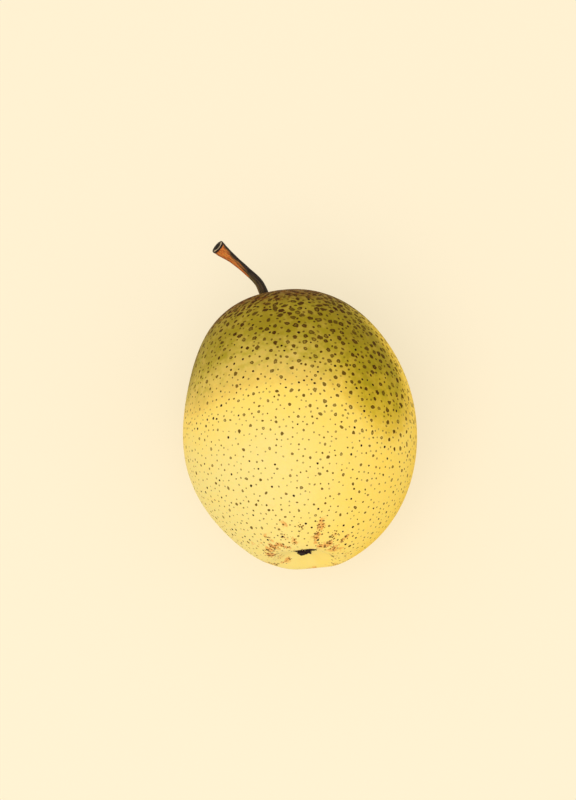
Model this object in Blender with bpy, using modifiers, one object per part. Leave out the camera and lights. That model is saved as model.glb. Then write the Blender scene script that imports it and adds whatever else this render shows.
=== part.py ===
"""A ripe pear lying on its side: one solid fruit, its short woody stem and its dried calyx.

Every piece is modelled in the pear's own frame: X across, Y from the upper flank down to the resting
flank, Z along the core from the calyx to the stem end.  An empty lays the whole pear on its side, so
the world origin is the middle of the small flat it rests on and the stem end points along +Y.
"""
import math

import bmesh
import bpy
import numpy as np
from mathutils import Matrix, Vector

MM = 0.001

# Fruit: a turned body, fuller towards the stem end, whose core leans a little to one side
BODY_RADIUS = 37.3 * MM
BODY_HALF_LENGTH = 45.9 * MM
TAPER = -0.027
SHOULDER = 0.168
LEAN = -2.03 * MM
BOW = -0.87 * MM

# Two low waves round the outline and one over the flanks
WAVE_OF_FOUR = 0.15 * MM
WAVE_OF_SIX = 0.20 * MM
FLANK_WAVE = 0.25 * MM
FLANK_PITCH = 4.0
FLANK_PHASE_X = 0.6
FLANK_PHASE_Z = 0.3
WAVE_REACH = 40.0 * MM

# Calyx basin, with soft puckers round its lip
BASIN_DEPTH = 6.6 * MM
BASIN_RADIUS = 9.0 * MM
BASIN_STEEPNESS = 3.0
PUCKER_COUNT = 5
PUCKER_HEIGHT = 0.25 * MM
PUCKER_RADIUS = 9.0 * MM

# Shallow cavity that the stem stands in
CAVITY_DEPTH = 2.2 * MM
CAVITY_RADIUS = 6.0 * MM
CAVITY_X = -4.5 * MM
CAVITY_Y = -4.0 * MM

# How it lies: the stem end dips a little, and the lowest skin is pressed flat
STEM_END_DIP = math.radians(6.0)
FLAT_DEPTH = 0.28 * MM

# Fruit mesh: rings are closer together near the two ends
SEGMENTS = 72
RINGS = 50
END_CROWDING = 0.25
CONTACT_SAMPLES = 361

# Stem: (x, y, z, radius) from its foot inside the fruit to the flared scar
STEM_PATH = (
    (-9.55 * MM, -3.85 * MM, 40.80 * MM, 1.40 * MM),
    (-10.80 * MM, -5.00 * MM, 43.20 * MM, 1.55 * MM),
    (-13.20 * MM, -7.25 * MM, 47.80 * MM, 1.38 * MM),
    (-17.00 * MM, -9.00 * MM, 51.20 * MM, 1.24 * MM),
    (-21.40 * MM, -11.30 * MM, 54.45 * MM, 1.42 * MM),
    (-24.60 * MM, -13.30 * MM, 56.35 * MM, 1.98 * MM),
    (-26.30 * MM, -14.55 * MM, 57.40 * MM, 2.32 * MM),
)
STEM_STEPS = 4
SCAR_RADIUS = 1.55 * MM
SCAR_DEPTH = 0.75 * MM
SOCKET_REACH = 3.0 * MM

# Calyx: a small dried cup
CUP_RADIUS = 1.9 * MM
CUP_HOLLOW_RADIUS = 1.2 * MM
CUP_HOLLOW_DEPTH = 0.9 * MM
CUP_STANDS = 0.6 * MM
CUP_SUNK = 1.1 * MM

# Its five sepals: degrees round the core, reach and half width in millimetres, and bluntness
SEPALS = (
    (190, 4.0, 1.1, 1.7),
    (103, 3.7, 1.5, 3.0),
    (45, 3.3, 1.1, 2.5),
    (-13, 4.6, 1.3, 1.7),
    (-95, 3.8, 1.3, 1.7),
)
SEPAL_START = 1.3 * MM
SEPAL_TIP_HALF_WIDTH = 0.16 * MM
SEPAL_THICKNESS = 0.6 * MM
SEPAL_CURL = 0.1 * MM
SEPAL_TROUGH = 0.2 * MM

# Clearance between pieces that touch on the real pear, and the sides of the cutters that leave it
GAP = 0.3 * MM
CUTTER_SIDES = 20
WELD = 0.01 * MM

# sRGB colours
SKIN_COLOUR = "F2D066"
STEM_COLOUR = "6E4A22"
CALYX_COLOUR = "2B1A12"


def linear_colour(code):
    """Turn an sRGB hex code into the linear RGBA that Blender's sockets take."""
    channels = [int(code[i:i + 2], 16) / 255 for i in (0, 2, 4)]
    return [c / 12.92 if c <= 0.04045 else ((c + 0.055) / 1.055) ** 2.4 for c in channels] + [1.0]


def make_material(name, colour, roughness):
    """A Principled material in one colour."""
    material = bpy.data.materials.new(name)
    material.use_nodes = True
    shader = material.node_tree.nodes["Principled BSDF"]
    shader.inputs["Base Color"].default_value = linear_colour(colour)
    shader.inputs["Roughness"].default_value = roughness
    shader.inputs["Metallic"].default_value = 0.0
    return material


def clear_scene():
    """Remove whatever the file starts with."""
    for thing in list(bpy.data.objects):
        bpy.data.objects.remove(thing)


def make_collection(name):
    """A new collection in the scene."""
    collection = bpy.data.collections.new(name)
    bpy.context.scene.collection.children.link(collection)
    return collection


def object_from(bm, name, collection):
    """Turn a bmesh into an object in a collection."""
    mesh = bpy.data.meshes.new(name)
    bm.to_mesh(mesh)
    bm.free()
    thing = bpy.data.objects.new(name, mesh)
    collection.objects.link(thing)
    return thing


def make_real(thing):
    """Give an object the mesh that its modifiers make, and drop the modifiers."""
    bpy.context.view_layer.update()
    evaluated = thing.evaluated_get(bpy.context.evaluated_depsgraph_get())
    finished = bpy.data.meshes.new_from_object(evaluated)
    thing.modifiers.clear()
    thing.data = finished
    thing.data.name = thing.name


def finish(thing, material, sharp_from):
    """Put one material on an object and shade it smooth, with its sharp edges kept."""
    thing.data.materials.clear()
    thing.data.materials.append(material)
    thing.data.shade_smooth()
    thing.data.set_sharp_from_angle(angle=math.radians(sharp_from))
    return thing


def cut(thing, cutter):
    """Take a cutter's shape out of an object."""
    cutter.hide_render = True
    cutter.display_type = "WIRE"
    modifier = thing.modifiers.new("cut_" + cutter.name, "BOOLEAN")
    modifier.operation = "DIFFERENCE"
    modifier.solver = "EXACT"
    modifier.object = cutter


def pear_skin(directions):
    """Skin points, n by 3, for unit directions from the pear's middle.

    At s along the core, from -1 at the calyx to 1 at the stem, the body is a circle of radius
    R sqrt(1 - s^2) (1 + TAPER s + SHOULDER s^3) at height L s.  Low waves swell it by less than a
    hundredth, the basin pushes the calyx end in and the cavity the stem end, and the core is then
    bent sideways by LEAN s + BOW s^2.
    """
    x, y, s = directions.T
    across = BODY_RADIUS * (1 + TAPER * s + SHOULDER * s**3)
    turn, reach = np.arctan2(s, x), np.hypot(x, s)
    waves = WAVE_OF_FOUR * reach**4 * np.sin(4 * turn) + WAVE_OF_SIX * reach**6 * np.sin(6 * turn)
    flank = np.sin(FLANK_PITCH * x + FLANK_PHASE_X) * np.sin(FLANK_PITCH * s + FLANK_PHASE_Z)
    swell = 1 + (waves + FLANK_WAVE * y * flank) / WAVE_REACH
    px, py, pz = across * x * swell, across * y * swell, BODY_HALF_LENGTH * s * swell

    off_core = np.hypot(px, py)
    basin = BASIN_DEPTH * np.exp(-(off_core / BASIN_RADIUS) ** BASIN_STEEPNESS)
    lip = (off_core / PUCKER_RADIUS) ** 2
    puckers = PUCKER_HEIGHT * lip * np.exp(1 - lip) * np.cos(PUCKER_COUNT * np.arctan2(py, px))
    cavity = CAVITY_DEPTH * np.exp(-((px - CAVITY_X) ** 2 + (py - CAVITY_Y) ** 2) / CAVITY_RADIUS**2)
    pz = pz + np.where(s < 0, basin + puckers, -cavity)
    return np.stack([px + LEAN * s + BOW * s**2, py, pz], axis=1)


def basin_floor():
    """The lowest point of the calyx basin, where the core meets the skin."""
    return Vector(pear_skin(np.array([[0.0, 0.0, -1.0]]))[0])


def lay_down():
    """The matrix that turns the upright pear onto its flank, over the middle of its flat."""
    turn = Matrix.Rotation(-(math.pi / 2 + STEM_END_DIP), 4, "X")
    t, f = np.meshgrid(*[np.linspace(0.3, 0.7, CONTACT_SAMPLES) * math.pi] * 2, indexing="ij")
    flank = np.stack([np.sin(t) * np.cos(f), np.sin(t) * np.sin(f), np.cos(t)], axis=-1)
    laid = pear_skin(flank.reshape(-1, 3)) @ np.array(turn.to_3x3()).T
    lowest = laid[laid[:, 2].argmin()]
    return Matrix.Translation((-lowest[0], -lowest[1], -lowest[2] - FLAT_DEPTH)) @ turn


def cutting_rod(name, radius, start, end, cutters):
    """A closed cylinder from start to end."""
    bm = bmesh.new()
    bmesh.ops.create_cone(bm, cap_ends=True, segments=CUTTER_SIDES, radius1=radius, radius2=radius,
                          depth=(end - start).length)
    turn = (end - start).to_track_quat("Z", "Y").to_matrix().to_4x4()
    bmesh.ops.transform(bm, matrix=Matrix.Translation((start + end) / 2) @ turn, verts=bm.verts)
    return object_from(bm, name, cutters)


def skin_ball():
    """A sphere whose points are moved out to the skin."""
    bm = bmesh.new()
    bmesh.ops.create_uvsphere(bm, u_segments=SEGMENTS, v_segments=RINGS, radius=1.0)
    ball = np.array([vertex.co for vertex in bm.verts])
    t = np.arccos(np.clip(ball[:, 2], -1, 1))
    t = t - END_CROWDING * np.sin(2 * t)
    f = np.arctan2(ball[:, 1], ball[:, 0])
    directions = np.stack([np.sin(t) * np.cos(f), np.sin(t) * np.sin(f), np.cos(t)], axis=1)
    for vertex, place in zip(bm.verts, pear_skin(directions)):
        vertex.co = place
    return bm


def press_flat(bm, laid):
    """Slice off what would lie below the surface the pear rests on, and close the slice."""
    to_pear = laid.inverted()
    pressed = bmesh.ops.bisect_plane(
        bm, geom=bm.verts[:] + bm.edges[:] + bm.faces[:], clear_outer=True,
        plane_co=to_pear @ Vector((0, 0, 0)), plane_no=to_pear.to_3x3() @ Vector((0, 0, -1)))
    rim = [item for item in pressed["geom_cut"] if isinstance(item, bmesh.types.BMEdge)]
    bmesh.ops.contextual_create(bm, geom=rim)
    bmesh.ops.recalc_face_normals(bm, faces=bm.faces)


def make_fruit(laid, pear, cutters):
    """The fruit: skin and flesh in one solid, with its flat, calyx recess and stem socket."""
    bm = skin_ball()
    press_flat(bm, laid)
    fruit = object_from(bm, "fruit", pear)

    floor = basin_floor()
    sunk, stands = Vector((0, 0, CUP_SUNK + GAP)), Vector((0, 0, 2 * CUP_STANDS))
    cut(fruit, cutting_rod("calyx_recess", CUP_RADIUS + GAP, floor + sunk, floor - stands, cutters))

    foot, root = Vector(STEM_PATH[0][:3]), Vector(STEM_PATH[1][:3])
    along = (root - foot).normalized()
    socket_end = root + along * SOCKET_REACH
    cut(fruit, cutting_rod("stem_socket", STEM_PATH[1][3] + GAP, foot - along * GAP, socket_end, cutters))
    make_real(fruit)
    return finish(fruit, make_material("waxy_skin", SKIN_COLOUR, 0.5), 35)


def stem_rod(pear):
    """The stem's path as a curve with a radius at each point, made a closed mesh object."""
    curve = bpy.data.curves.new("stem_path", "CURVE")
    curve.dimensions = "3D"
    curve.bevel_depth = 1.0
    curve.bevel_resolution = 4
    curve.resolution_u = STEM_STEPS
    curve.use_fill_caps = True
    spline = curve.splines.new("BEZIER")
    spline.bezier_points.add(len(STEM_PATH) - 1)
    for point, (x, y, z, radius) in zip(spline.bezier_points, STEM_PATH):
        point.co = (x, y, z)
        point.radius = radius
        point.handle_left_type = "AUTO"
        point.handle_right_type = "AUTO"
    rod = bpy.data.objects.new("stem_path", curve)
    pear.objects.link(rod)
    bpy.context.view_layer.update()
    mesh = bpy.data.meshes.new_from_object(rod.evaluated_get(bpy.context.evaluated_depsgraph_get()))
    bm = bmesh.new()
    bm.from_mesh(mesh)
    bmesh.ops.remove_doubles(bm, verts=bm.verts, dist=WELD)
    stem = object_from(bm, "stem", pear)
    stem.matrix_world = rod.matrix_world
    bpy.data.objects.remove(rod)
    return stem


def make_stem(pear, cutters):
    """The stem: a thin bent rod that thickens to a hollow scar where it left the branch."""
    stem = stem_rod(pear)
    collar, tip = Vector(STEM_PATH[-2][:3]), Vector(STEM_PATH[-1][:3])
    turn = (tip - collar).to_track_quat("Z", "Y").to_matrix().to_4x4()
    bowl = Matrix.Diagonal((SCAR_RADIUS, SCAR_RADIUS, SCAR_DEPTH, 1))
    bm = bmesh.new()
    bmesh.ops.create_uvsphere(bm, u_segments=12, v_segments=8, radius=1.0)
    bmesh.ops.transform(bm, matrix=Matrix.Translation(tip) @ turn @ bowl, verts=bm.verts)
    cut(stem, object_from(bm, "scar_bowl", cutters))
    make_real(stem)
    return finish(stem, make_material("stem_bark", STEM_COLOUR, 0.75), 45)


def make_cup(pear):
    """The calyx cup: a turned profile with a hollow that opens towards -Z."""
    lip = (CUP_RADIUS + CUP_HOLLOW_RADIUS) / 2
    profile = [(0, CUP_SUNK), (CUP_RADIUS, CUP_SUNK), (CUP_RADIUS, -CUP_STANDS / 2), (lip, -CUP_STANDS),
               (CUP_HOLLOW_RADIUS, -CUP_STANDS / 2), (CUP_HOLLOW_RADIUS / 2, CUP_HOLLOW_DEPTH - CUP_STANDS),
               (0, CUP_HOLLOW_DEPTH - CUP_STANDS)]
    bm = bmesh.new()
    points = [bm.verts.new((r, 0, z)) for r, z in profile]
    for first, second in zip(points, points[1:]):
        bm.edges.new((first, second))
    cup = object_from(bm, "calyx", pear)
    screw = cup.modifiers.new("turn", "SCREW")
    screw.steps = CUTTER_SIDES
    screw.render_steps = CUTTER_SIDES
    screw.use_merge_vertices = True
    screw.merge_threshold = WELD
    make_real(cup)
    return cup


def basin_rise(off_core):
    """How far the skin stands out past the basin floor, at a distance from the core."""
    basin = BASIN_DEPTH * (1 - math.exp(-(off_core / BASIN_RADIUS) ** BASIN_STEEPNESS))
    return basin - BODY_HALF_LENGTH * (1 - math.sqrt(1 - (off_core / BODY_RADIUS) ** 2))


def make_sepal(number, sepals):
    """One sepal: a pointed blade that follows the basin's wall and curls up at its tip."""
    turn, reach, half_width, bluntness = SEPALS[number]
    bm = bmesh.new()
    bmesh.ops.create_grid(bm, x_segments=7, y_segments=4, size=1.0)
    for vertex in bm.verts:
        along, side = (vertex.co.x + 1) / 2, vertex.co.y
        half = half_width * MM * (1 - along**bluntness) + SEPAL_TIP_HALF_WIDTH * along
        x, y = SEPAL_START + (reach * MM - SEPAL_START) * along, side * half
        height = basin_rise(math.hypot(x, y)) + SEPAL_CURL * along**4 + SEPAL_TROUGH * side**2 * (1 - along)
        vertex.co = (x, y, -height)
    sepal = object_from(bm, "sepal_%d" % number, sepals)
    solid = sepal.modifiers.new("thickness", "SOLIDIFY")
    solid.thickness = SEPAL_THICKNESS
    solid.offset = 0.0
    make_real(sepal)
    clear_of_skin = Matrix.Translation((0, 0, -GAP - SEPAL_THICKNESS / 2))
    sepal.data.transform(Matrix.Rotation(math.radians(turn), 4, "Z") @ clear_of_skin)


def make_calyx(pear):
    """The calyx: cup and sepals joined in one dry piece on the basin floor."""
    cup = make_cup(pear)
    sepals = make_collection("sepals")
    for number in range(len(SEPALS)):
        make_sepal(number, sepals)
    union = cup.modifiers.new("join_sepals", "BOOLEAN")
    union.operation = "UNION"
    union.solver = "EXACT"
    union.operand_type = "COLLECTION"
    union.collection = sepals
    make_real(cup)
    for sepal in list(sepals.objects):
        bpy.data.objects.remove(sepal)
    bpy.data.collections.remove(sepals)
    cup.data.transform(Matrix.Translation(basin_floor()))
    return finish(cup, make_material("dried_calyx", CALYX_COLOUR, 0.85), 40)


def main():
    """Build the pear and lay it on its flat."""
    clear_scene()
    pear = make_collection("pear")
    cutters = make_collection("cutters")
    laid = lay_down()
    pieces = [make_fruit(laid, pear, cutters), make_stem(pear, cutters), make_calyx(pear)]
    rest = bpy.data.objects.new("resting_pose", None)
    pear.objects.link(rest)
    rest.matrix_world = laid
    for thing in pieces + list(cutters.objects):
        thing.parent = rest
    bpy.context.view_layer.update()


main()
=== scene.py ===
"""The looks of a ripe pear on its side: speckled waxy skin, a woody stem and a dried calyx.

The pear's own frame has X across, Y from the upper flank down to the resting flank and Z along the
core from the calyx to the stem end.  Every piece is worked out there and then laid on its side.
"""
import functools
import math

import bpy
import numpy as np
from mathutils import Matrix, Vector


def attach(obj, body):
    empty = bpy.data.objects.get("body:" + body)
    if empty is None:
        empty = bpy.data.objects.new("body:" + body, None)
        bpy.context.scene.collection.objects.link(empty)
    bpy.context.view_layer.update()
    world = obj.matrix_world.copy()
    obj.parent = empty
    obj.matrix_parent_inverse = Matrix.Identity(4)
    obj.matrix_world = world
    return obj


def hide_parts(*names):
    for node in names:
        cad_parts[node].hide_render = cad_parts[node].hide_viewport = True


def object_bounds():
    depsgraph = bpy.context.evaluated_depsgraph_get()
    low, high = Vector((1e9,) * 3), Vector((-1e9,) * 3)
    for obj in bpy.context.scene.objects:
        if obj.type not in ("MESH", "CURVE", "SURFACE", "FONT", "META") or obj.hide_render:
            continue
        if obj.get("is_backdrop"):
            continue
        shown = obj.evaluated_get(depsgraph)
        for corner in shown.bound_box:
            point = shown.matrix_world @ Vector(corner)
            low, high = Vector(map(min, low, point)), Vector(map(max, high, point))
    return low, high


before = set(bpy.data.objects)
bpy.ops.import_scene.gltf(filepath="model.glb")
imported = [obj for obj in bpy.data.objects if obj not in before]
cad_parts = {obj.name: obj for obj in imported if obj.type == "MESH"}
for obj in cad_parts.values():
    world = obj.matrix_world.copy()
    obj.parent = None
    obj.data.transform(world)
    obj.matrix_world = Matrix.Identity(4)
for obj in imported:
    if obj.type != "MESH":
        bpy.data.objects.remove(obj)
cad_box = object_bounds()

MM = 0.001
BODY = "root"

# Fruit: a turned body, fuller towards the stem end, whose core leans and bows a little to one side
BODY_RADIUS = 37.3 * MM
BODY_HALF_LENGTH = 45.9 * MM
TAPER = -0.027
SHOULDER = 0.168
LEAN = -2.03 * MM
BOW = -0.87 * MM
CALYX_X = (BOW - LEAN) / MM

# Two low waves round the outline and one over the flanks
WAVE_OF_FOUR = 0.15 * MM
WAVE_OF_SIX = 0.20 * MM
FLANK_WAVE = 0.25 * MM
FLANK_PITCH = 4.0
FLANK_PHASE_X = 0.6
FLANK_PHASE_Z = 0.3
WAVE_REACH = 40.0 * MM

# Calyx basin with soft puckers round its lip, and the shallow cavity that the stem stands in
BASIN_DEPTH = 6.6 * MM
BASIN_RADIUS = 9.0 * MM
BASIN_STEEPNESS = 3.0
PUCKER_COUNT = 5
PUCKER_HEIGHT = 0.25 * MM
PUCKER_RADIUS = 9.0 * MM
CAVITY_DEPTH = 2.2 * MM
CAVITY_RADIUS = 6.0 * MM
CAVITY_X = -4.5 * MM
CAVITY_Y = -4.0 * MM

# How it lies, and the stretch of skin searched for its lowest point, in shares of half a turn
STEM_END_DIP = math.radians(6.0)
FLAT_DEPTH = 0.28 * MM
CONTACT_SPAN = (0.3, 0.7)
CONTACT_SAMPLES = 361

# Fine skin: rows from stem to calyx and columns round the core
SKIN_ROWS = 240
SKIN_COLUMNS = 400
END_CROWDING = 0.1

# Which way the upper flank faces, turned a little to the calyx end
FLANK_TILT = math.radians(18.0)
UPPER_FLANK = np.array([0.0, -math.cos(FLANK_TILT), -math.sin(FLANK_TILT)])

# Stem: (x, y, z, radius) from its foot inside the fruit to the flared scar
STEM_PATH = np.array([
    (-9.55, -3.85, 40.80, 1.40),
    (-10.80, -5.00, 43.20, 1.55),
    (-13.20, -7.25, 47.80, 1.38),
    (-17.00, -9.00, 51.20, 1.24),
    (-21.40, -11.30, 54.45, 1.42),
    (-24.60, -13.30, 56.35, 1.98),
    (-26.30, -14.55, 57.40, 2.32),
]) * MM


def linear(code):
    """An sRGB hex colour as linear RGBA."""
    channels = [int(code[i:i + 2], 16) / 255 for i in (0, 2, 4)]
    return [c / 12.92 if c <= 0.04045 else ((c + 0.055) / 1.055) ** 2.4 for c in channels] + [1.0]


# Settings that many nodes share: a smooth ramp, and a mix of colours, whose share is input 0 and whose
# two colours are inputs 6 and 7
SOFT = {"interpolation_type": "SMOOTHSTEP"}
COLOUR = {"data_type": "RGBA"}


def plug(tree, node, inputs):
    """Fill a node's inputs, given by name or number or in their own order.

    A node lends the first output it has in use, a socket is linked, a hex colour is turned linear,
    and anything else is a value.
    """
    for key, value in inputs.items() if isinstance(inputs, dict) else enumerate(inputs):
        if isinstance(value, bpy.types.Node):
            value = next(output for output in value.outputs if output.enabled)
        if isinstance(value, bpy.types.NodeSocket):
            tree.links.new(value, node.inputs[key])
        else:
            node.inputs[key].default_value = linear(value) if isinstance(value, str) else value


def add_node(tree, kind, inputs=(), stops=(), **settings):
    """Add a shader node with its settings, its inputs and the stops of its colour ramp."""
    node = tree.nodes.new("ShaderNode" + kind)
    for name, value in settings.items():
        setattr(node, name, value)
    plug(tree, node, inputs)
    while len(stops) > len(node.color_ramp.elements if stops else ()):
        node.color_ramp.elements.new(1.0)
    for number, (position, colour) in enumerate(stops):
        node.color_ramp.elements[number].position = position
        node.color_ramp.elements[number].color = linear(colour)
    return node


def new_material(name):
    """A material with nothing but its Principled shader, linked to its output."""
    material = bpy.data.materials.new(name)
    material.use_nodes = True
    tree = material.node_tree
    tree.nodes.clear()
    shader = add_node(tree, "BsdfPrincipled")
    add_node(tree, "OutputMaterial", [shader])
    return material, tree, shader


def smooth(low, high, value):
    """0 below low, 1 above high, and a smooth rise between."""
    t = np.clip((value - low) / (high - low), 0, 1)
    return t * t * (3 - 2 * t)


def bell(angle, middle, width):
    """A bell curve of an angle in degrees, 1 at the middle."""
    away = (angle - middle + 180.0) % 360.0 - 180.0
    return np.exp(-(away / width) ** 2)


def pear_skin(directions):
    """Skin points, n by 3, for unit directions from the pear's middle.

    At s along the core, from -1 at the calyx to 1 at the stem, the body is a circle of radius
    R sqrt(1 - s^2) (1 + TAPER s + SHOULDER s^3) at height L s.  Low waves swell it by less than a
    hundredth, the basin pushes the calyx end in and the cavity the stem end, and the core is then
    bent sideways by LEAN s + BOW s^2.
    """
    x, y, s = directions.T
    across = BODY_RADIUS * (1 + TAPER * s + SHOULDER * s**3)
    turn, reach = np.arctan2(s, x), np.hypot(x, s)
    waves = WAVE_OF_FOUR * reach**4 * np.sin(4 * turn) + WAVE_OF_SIX * reach**6 * np.sin(6 * turn)
    flank = np.sin(FLANK_PITCH * x + FLANK_PHASE_X) * np.sin(FLANK_PITCH * s + FLANK_PHASE_Z)
    swell = 1 + (waves + FLANK_WAVE * y * flank) / WAVE_REACH
    px, py, pz = across * x * swell, across * y * swell, BODY_HALF_LENGTH * s * swell

    off_core = np.hypot(px, py)
    basin = BASIN_DEPTH * np.exp(-(off_core / BASIN_RADIUS) ** BASIN_STEEPNESS)
    lip = (off_core / PUCKER_RADIUS) ** 2
    puckers = PUCKER_HEIGHT * lip * np.exp(1 - lip) * np.cos(PUCKER_COUNT * np.arctan2(py, px))
    cavity = CAVITY_DEPTH * np.exp(-((px - CAVITY_X) ** 2 + (py - CAVITY_Y) ** 2) / CAVITY_RADIUS**2)
    pz = pz + np.where(s < 0, basin + puckers, -cavity)
    return np.stack([px + LEAN * s + BOW * s**2, py, pz], axis=1)


def lay_down():
    """The matrix that turns the upright pear onto its flank, over the middle of its flat."""
    turn = Matrix.Rotation(-(math.pi / 2 + STEM_END_DIP), 4, "X")
    t, f = np.meshgrid(*[np.linspace(*CONTACT_SPAN, CONTACT_SAMPLES) * math.pi] * 2, indexing="ij")
    flank = np.stack([np.sin(t) * np.cos(f), np.sin(t) * np.sin(f), np.cos(t)], axis=-1)
    laid = pear_skin(flank.reshape(-1, 3)) @ np.array(turn.to_3x3()).T
    lowest = laid[laid[:, 2].argmin()]
    return Matrix.Translation((-lowest[0], -lowest[1], -lowest[2] - FLAT_DEPTH)) @ turn


LAID = lay_down()


def place(points):
    """Points of the pear's own frame as world points, pressed flat where they meet the surface."""
    matrix = np.array(LAID)
    world = points @ matrix[:3, :3].T + matrix[:3, 3]
    world[:, 2] = np.maximum(world[:, 2], 0.0)
    return world


def new_piece(name, points, faces, material):
    """A smooth mesh object at the origin, laid with the pear, that moves with the body."""
    mesh = bpy.data.meshes.new(name)
    mesh.from_pydata(place(points).tolist(), [], faces)
    mesh.shade_smooth()
    mesh.materials.append(material)
    piece = bpy.data.objects.new(name, mesh)
    bpy.context.scene.collection.objects.link(piece)
    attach(piece, BODY)
    return piece


def set_attribute(piece, name, domain, values):
    """Store three numbers on a mesh for each point or face corner."""
    attribute = piece.data.attributes.new(name, "FLOAT_VECTOR", domain)
    attribute.data.foreach_set("vector", np.ascontiguousarray(values, dtype=np.float32).ravel())


def closed_rings(rings):
    """Points and faces of a closed skin: rings (n, m, 3), the first and last each drawn to a point."""
    count, around = rings.shape[:2]
    points = np.concatenate([rings[:1].mean(axis=1), rings[1:-1].reshape(-1, 3), rings[-1:].mean(axis=1)])
    index = 1 + np.arange((count - 2) * around).reshape(count - 2, around)
    after = np.roll(index, -1, axis=1)
    quads = np.stack([index[:-1], index[1:], after[1:], after[:-1]], axis=-1).reshape(-1, 4)
    first = np.stack([np.zeros(around, int), index[0], after[0]], axis=-1)
    last = np.stack([np.full(around, len(points) - 1), after[-1], index[-1]], axis=-1)
    return points, first.tolist() + quads.tolist() + last.tolist()


# Skin colours are fields over the surface.  Heights along the core are in mm, and turns round it in
# degrees, 0 on the right and 90 on the upper flank.  Facing is 1 where the skin faces as the upper
# flank does and 0 where it turns under.  A pair of values is where a smooth rise starts and ends, and
# a pair for a turn is the middle and width of a bell curve.

# Olive cap: the height of its edge, how far it fades either way, and its deeper stem end
OLIVE_EDGE = 14.0
OLIVE_FADE = 17.0
OLIVE_DEPTH = 0.93
STEM_END_DEPTH = 0.35
STEM_END_HEIGHTS = (28.0, 46.0)

# Where the cap's edge sinks: the turn and width of each bell curve, and how far
OLIVE_SINKS = ((44.4, 23.0, 14.2), (147.0, 22.0, 5.1), (-95.0, 50.0, 6.0))

# Painted light: where the cap's olive is made lighter on the right, against the shade the lamp leaves there
RIGHT_PAINTED_LIGHT = 0.15
RIGHT_PAINTED_LIGHT_TURN = (42.0, 20.0)
RIGHT_PAINTED_LIGHT_FROM = (0.0, 10.0)
RIGHT_PAINTED_LIGHT_UP_TO = (26.0, 16.0)

# The sides, by the skin's normal across the core and its facing
SIDE_NORMAL = (-0.1, 0.3)
RIGHT_FACING = (-0.8, -0.2)
LEFT_FACING = (-0.3, 0.1)

# Gold where the right flank turns under, which the olive gives way to, partly gold skin and partly painted
# reflected light on the right edge; and the thin olive rim on the left, painted shade on the left edge
GOLD_FACING = (0.08, 0.46)
GOLD_UP_TO = (38.0, 20.0)
GOLD_OFF_CORE = (10.0, 18.0)
GIVES_WAY_FACING = (0.18, 0.42)
GIVES_WAY_UP_TO = (50.0, 14.0)
RIM_DEPTH = 0.3
RIM_FACING = (0.1, 0.32)
RIM_FROM = (3.0, 12.0)
RIM_UP_TO = (30.0, 18.0)

# Pale yellow, by the distance across the pear and along it, and the russet cap, which reaches further
# down on the left and is whole round the stem's foot
PALE_ACROSS = (32.0, -16.0)
PALE_ALONG = (10.0, -24.0)
CAP_HEIGHTS = (27.0, 45.0)
CAP_LEFT_TURN = (168.0, 36.0)
CAP_LEFT_REACH = 7.0
CAP_OFF_STEM = (24.0, 4.0)


def olive_field(points, normals):
    """How olive the skin is, 0 to 1.3, and how gold.

    A cap on the stem end fades over 34 mm along the core.  Its edge sinks by a bell curve on the
    right of the upper flank, by a smaller one on the left and by a broad one on the resting side,
    and on the right it is made a little lighter, painted light against the lamp's shade.  Where the
    skin turns under, the olive gives way on the right, to gold below the stem end's shoulder and
    outside the basin, partly gold skin and partly painted reflected light on the right edge, and the
    left keeps a thin olive rim, painted shade on the left edge.
    """
    height = points[:, 2] / MM
    core = points[:, 0] - LEAN * points[:, 2] / BODY_HALF_LENGTH
    around = np.degrees(np.arctan2(-points[:, 1], core))
    edge = OLIVE_EDGE - sum(sink * bell(around, turn, width) for turn, width, sink in OLIVE_SINKS)
    # Painted light: the olive made a little lighter on the right, against the lamp's shade
    painted_light_right = RIGHT_PAINTED_LIGHT * bell(around, *RIGHT_PAINTED_LIGHT_TURN)
    painted_light_right = painted_light_right * smooth(*RIGHT_PAINTED_LIGHT_FROM, height) * smooth(*RIGHT_PAINTED_LIGHT_UP_TO, height)
    olive = OLIVE_DEPTH * smooth(-OLIVE_FADE, OLIVE_FADE, height - edge) * (1 - painted_light_right)
    olive = olive + STEM_END_DEPTH * smooth(*STEM_END_HEIGHTS, height)

    facing = normals @ UPPER_FLANK
    off_core = np.hypot(core, points[:, 1]) / MM
    right = smooth(*SIDE_NORMAL, normals[:, 0]) * smooth(*RIGHT_FACING, facing)
    right = right * np.where(height < 0, smooth(*GOLD_OFF_CORE, off_core), 1.0)
    left = smooth(*SIDE_NORMAL, -normals[:, 0]) * smooth(*LEFT_FACING, facing)
    # Gold where the right flank turns under, and the olive giving way there: partly gold skin, partly
    # painted reflected light on the right edge
    gold_and_painted_rim_light = right * smooth(*GOLD_UP_TO, height) * (1 - smooth(*GOLD_FACING, facing))
    olive = olive * (1 - right * smooth(*GIVES_WAY_UP_TO, height) * (1 - smooth(*GIVES_WAY_FACING, facing)))
    # Painted shade: a thin olive rim on the left edge, where the skin turns under
    rim = left * (1 - smooth(*RIM_FACING, facing))
    rim = rim * smooth(*RIM_FROM, height) * smooth(*RIM_UP_TO, height)
    return olive + RIM_DEPTH * rim, gold_and_painted_rim_light


def pale_field(points):
    """How pale the yellow is: warm on the right, palest on the left towards the calyx end."""
    return smooth(*PALE_ACROSS, points[:, 0] / MM) * smooth(*PALE_ALONG, points[:, 2] / MM)


def cap_field(points):
    """How russet the stem end is: it fades down the skin, and reaches further down the left flank."""
    around = np.degrees(np.arctan2(-points[:, 1], points[:, 0]))
    height = points[:, 2] / MM + CAP_LEFT_REACH * bell(around, *CAP_LEFT_TURN)
    off_stem = np.linalg.norm(points - STEM_PATH[1, :3], axis=1) / MM
    return np.maximum(smooth(*CAP_HEIGHTS, height), smooth(*CAP_OFF_STEM, off_stem))


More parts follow.
